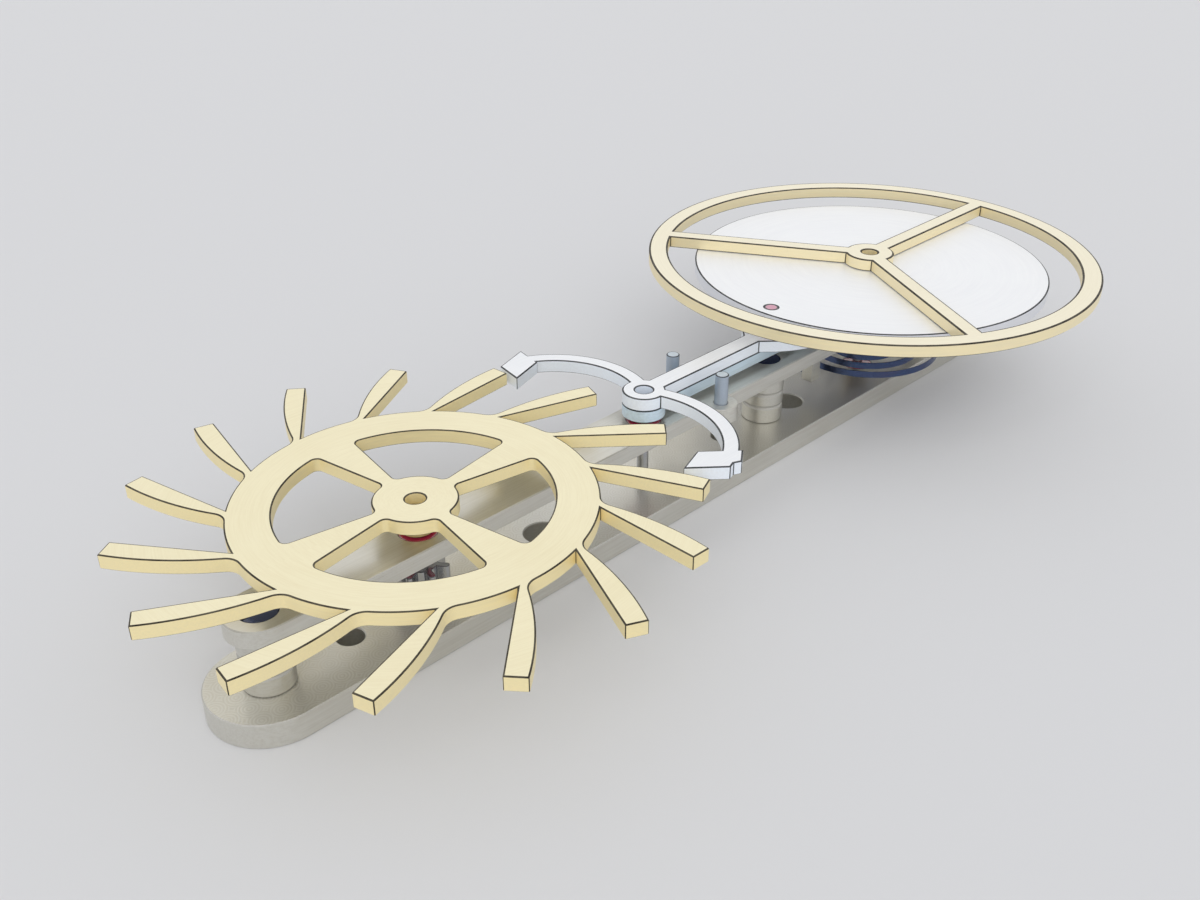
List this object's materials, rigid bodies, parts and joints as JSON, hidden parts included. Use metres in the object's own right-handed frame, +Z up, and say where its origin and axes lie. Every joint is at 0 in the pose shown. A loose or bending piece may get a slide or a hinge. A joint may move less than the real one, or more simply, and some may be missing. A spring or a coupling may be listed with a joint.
{
  "type": "lever escapement",
  "caption": "Lever escapement with club-tooth escape wheel, pallet fork with guard finger, and balance with rollers and hairspring, on a slim jewelled carrier.",
  "frame": {"origin": "on the flat underside of the carrier, directly below the pallet fork's axis", "axes": "+X along the line of centres, from the escape wheel to the balance; +Z up, parallel to all three arbors"},
  "size_m": [0.0239, 0.0104, 0.0034],
  "materials": {
    "nickel_silver": "fine frosted nickel silver",
    "blued_steel": "heat-blued and polished",
    "grey_steel": "satin steel wire",
    "ruby": "polished synthetic ruby",
    "pale_ruby": "polished pale ruby",
    "pale_gold": "matte, pale gilt",
    "white_steel": "fine-grained, bright white",
    "polished_steel": "polished"
  },
  "bodies": {
    "carrier": {"main_plate": "nickel_silver", "pillars": "nickel_silver", "upper_bar": "nickel_silver", "bar_screws": "blued_steel", "banking_pins": "grey_steel", "escape_lower_jewel": "ruby", "escape_upper_jewel": "ruby", "pallet_lower_jewel": "ruby", "pallet_upper_jewel": "ruby", "balance_lower_jewel": "ruby", "balance_upper_jewel": "ruby", "balance_endstone": "ruby", "hairspring_stud": "nickel_silver", "stud_screw": "blued_steel"},
    "balance": {"balance_wheel": "pale_gold", "roller_disc": "white_steel", "impulse_jewel": "pale_ruby", "safety_roller": "white_steel", "balance_staff": "polished_steel", "hairspring_collet": "pale_gold", "hairspring": "blued_steel"},
    "lever": {"pallet_fork": "white_steel", "guard_finger": "white_steel", "pallet_arbor": "polished_steel"},
    "escape": {"escape_wheel": "pale_gold", "escape_pinion": "polished_steel", "escape_collet": "pale_gold"}
  },
  "joints": [
    {"name": "balance_swing", "type": "hinge", "parent": "carrier", "child": "balance", "pos_m": [0.00781, 0, 0], "axis": [0, 0, 1], "range_deg": [-12, 12], "stiffness_Nm_per_rad": 0.00000052, "deforming": ["hairspring"]},
    {"name": "lever_rock", "type": "hinge", "parent": "carrier", "child": "lever", "pos_m": [0, 0, 0], "axis": [0, 0, 1], "range_deg": [-10.8, 10.8]},
    {"name": "escape_turn", "type": "hinge", "parent": "carrier", "child": "escape", "pos_m": [-0.00577, 0, 0], "axis": [0, 0, 1], "range_deg": [-7.2, 7.2]}
  ],
  "couplings": [
    {"joint": "lever_rock", "follows": "balance_swing", "ratio": -0.9},
    {"joint": "escape_turn", "follows": "balance_swing", "ratio": -0.6}
  ]
}
